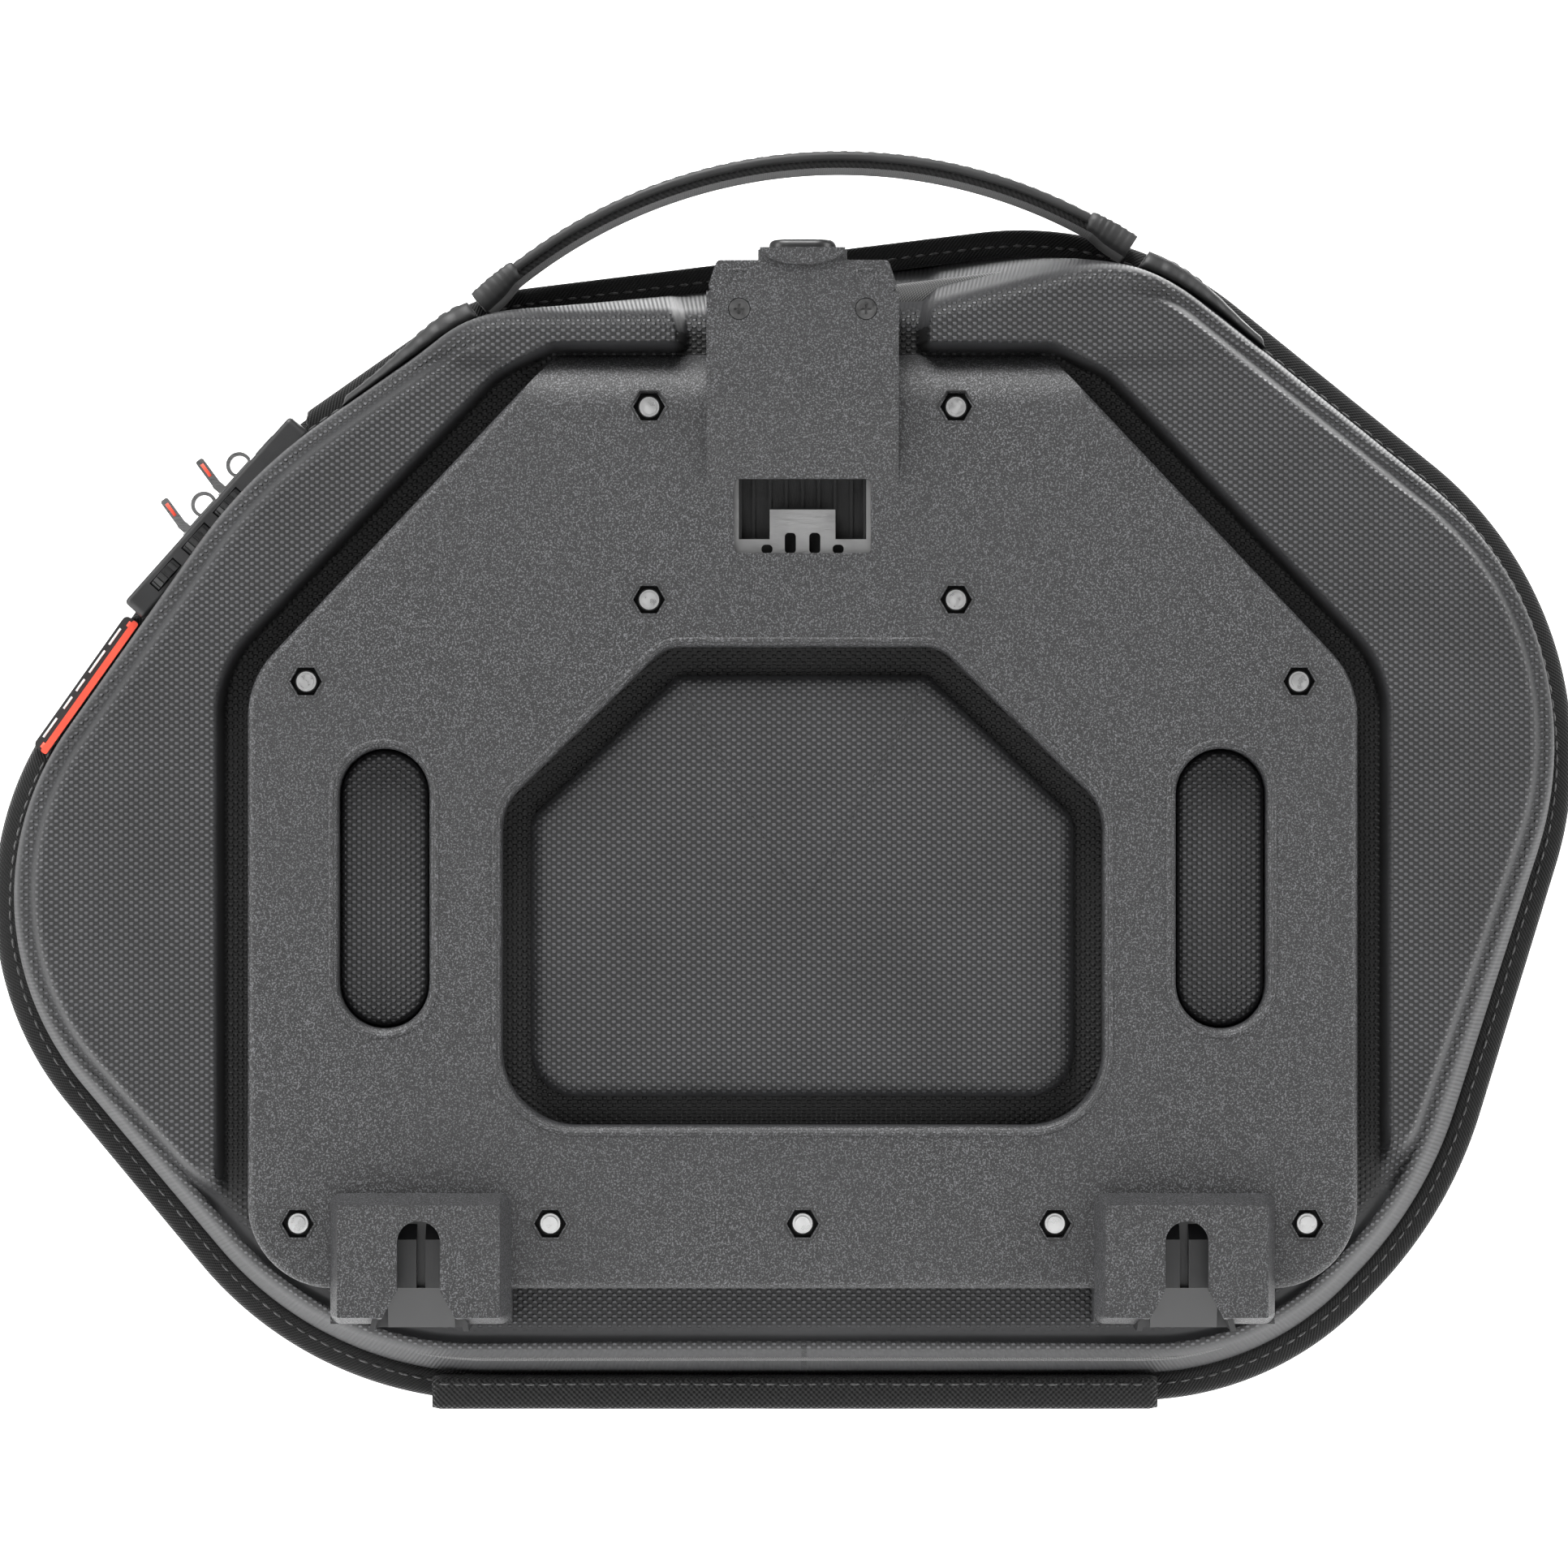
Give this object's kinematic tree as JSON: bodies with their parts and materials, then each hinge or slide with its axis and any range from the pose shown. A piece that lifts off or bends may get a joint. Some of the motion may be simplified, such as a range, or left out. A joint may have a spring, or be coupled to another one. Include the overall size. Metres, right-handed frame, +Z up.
{
  "type": "saddlebag",
  "caption": "Moulded motorcycle side bag: zip-round hinged cover, carrier plate with hook keyholes and quick-release latch, combination lock and carry handle.",
  "frame": {"origin": "middle of the zip plane at the underside of the hinge panel, on which the bag stands", "axes": "+Z up, +X to the right when facing the carrier plate, the plate faces -Y"},
  "size_m": [0.4386, 0.193, 0.3457],
  "materials": {
    "shell_textile": "matte",
    "edge_band": "matte",
    "zip_coil": "matte",
    "hinge_fabric": "matte",
    "lining": "matte",
    "plate_plastic": "matte",
    "button_plastic": "satin",
    "guide_plastic": "satin",
    "inner_plastic": "matte",
    "satin_steel": "satin",
    "spring_steel": "satin",
    "black_screw": "satin",
    "zinc_steel": "satin",
    "zinc_nut": "satin",
    "handle_rubber": "matte",
    "webbing": "matte",
    "lock_plastic": "satin",
    "dial_plastic": "satin",
    "slider_steel": "satin",
    "badge_rubber": "matte",
    "badge_red": "satin",
    "mesh": "matte"
  },
  "bodies": {
    "back_case": {"back_shell": "shell_textile", "back_band": "edge_band", "zip_chain_back": "zip_coil", "hinge_panel_back": "hinge_fabric", "back_liner": "lining", "gusset_left": "lining", "gusset_right": "lining", "mounting_plate": "plate_plastic", "latch_cap": "plate_plastic", "hook_guide_left": "guide_plastic", "hook_guide_right": "guide_plastic", "latch_housing": "inner_plastic", "latch_springs": "spring_steel", "cap_screws": "black_screw", "plate_screws": "zinc_steel", "plate_nuts": "zinc_nut", "screw_washers": "zinc_steel", "stiffener": "inner_plastic", "handle_tail_left": "handle_rubber", "handle_tail_right": "handle_rubber", "handle_anchor_left": "handle_rubber", "handle_anchor_right": "handle_rubber", "lock_body": "lock_plastic", "dial_pins": "zinc_steel", "zip_slider_1": "slider_steel", "zip_slider_2": "slider_steel", "badge_base": "badge_rubber", "badge_rib": "badge_red", "luggage_strap_left": "webbing", "luggage_strap_right": "webbing", "buckle_socket": "button_plastic", "buckle_tongue": "button_plastic"},
    "cover": {"front_shell": "shell_textile", "front_band": "edge_band", "zip_chain_front": "zip_coil", "hinge_panel_front": "hinge_fabric", "front_liner": "lining", "mesh_pocket": "mesh", "pocket_binding": "edge_band", "pocket_zip": "zip_coil"},
    "handle": {"handle_grip": "handle_rubber", "handle_webbing": "webbing"},
    "release": {"release_button": "button_plastic", "latch_plate": "satin_steel"},
    "dial_a": {"dial_1": "dial_plastic"},
    "dial_b": {"dial_2": "dial_plastic"},
    "dial_c": {"dial_3": "dial_plastic"},
    "tab_a": {"pull_tab_1": "slider_steel"},
    "tab_b": {"pull_tab_2": "slider_steel"},
    "lock_slide": {"lock_release": "button_plastic"}
  },
  "joints": [
    {"name": "cover_hinge", "type": "hinge", "parent": "back_case", "child": "cover", "pos_m": [0, 0, 0], "axis": [-1, 0, 0], "range_deg": [0, 75], "deforming": ["gusset_left", "gusset_right"]},
    {"name": "handle_swing", "type": "hinge", "parent": "back_case", "child": "handle", "pos_m": [0.0066, -0.03, 0.31095], "axis": [0.9965, 0, 0.084], "range_deg": [-30, 30], "stiffness_Nm_per_rad": 0.05, "deforming": ["handle_tail_left", "handle_tail_right"]},
    {"name": "release_press", "type": "slide", "parent": "back_case", "child": "release", "axis": [0, 0, -1], "range_m": [0, 0.0045], "stiffness_N_per_m": 800, "springref_m": -0.005, "deforming": ["latch_springs"]},
    {"name": "dial_1_spin", "type": "hinge", "parent": "back_case", "child": "dial_a", "pos_m": [-0.17104, -0.0188, 0.23045], "axis": [-0.7466, 0, 0.6652], "continuous": true},
    {"name": "dial_2_spin", "type": "hinge", "parent": "back_case", "child": "dial_b", "pos_m": [-0.16232, -0.0188, 0.24023], "axis": [-0.7466, 0, 0.6652], "continuous": true},
    {"name": "dial_3_spin", "type": "hinge", "parent": "back_case", "child": "dial_c", "pos_m": [-0.15361, -0.0188, 0.25001], "axis": [-0.7466, 0, 0.6652], "continuous": true},
    {"name": "pull_tab_1_swing", "type": "hinge", "parent": "back_case", "child": "tab_a", "pos_m": [-0.16848, 0.0006, 0.24504], "axis": [0, -1, 0], "range_deg": [0, 45]},
    {"name": "pull_tab_2_swing", "type": "hinge", "parent": "back_case", "child": "tab_b", "pos_m": [-0.15863, 0.0006, 0.25609], "axis": [0, -1, 0], "range_deg": [0, 45]},
    {"name": "lock_release_slide", "type": "slide", "parent": "back_case", "child": "lock_slide", "axis": [0.6652, 0, 0.7466], "range_m": [0, 0.003], "stiffness_N_per_m": 300, "springref_m": -0.003}
  ]
}
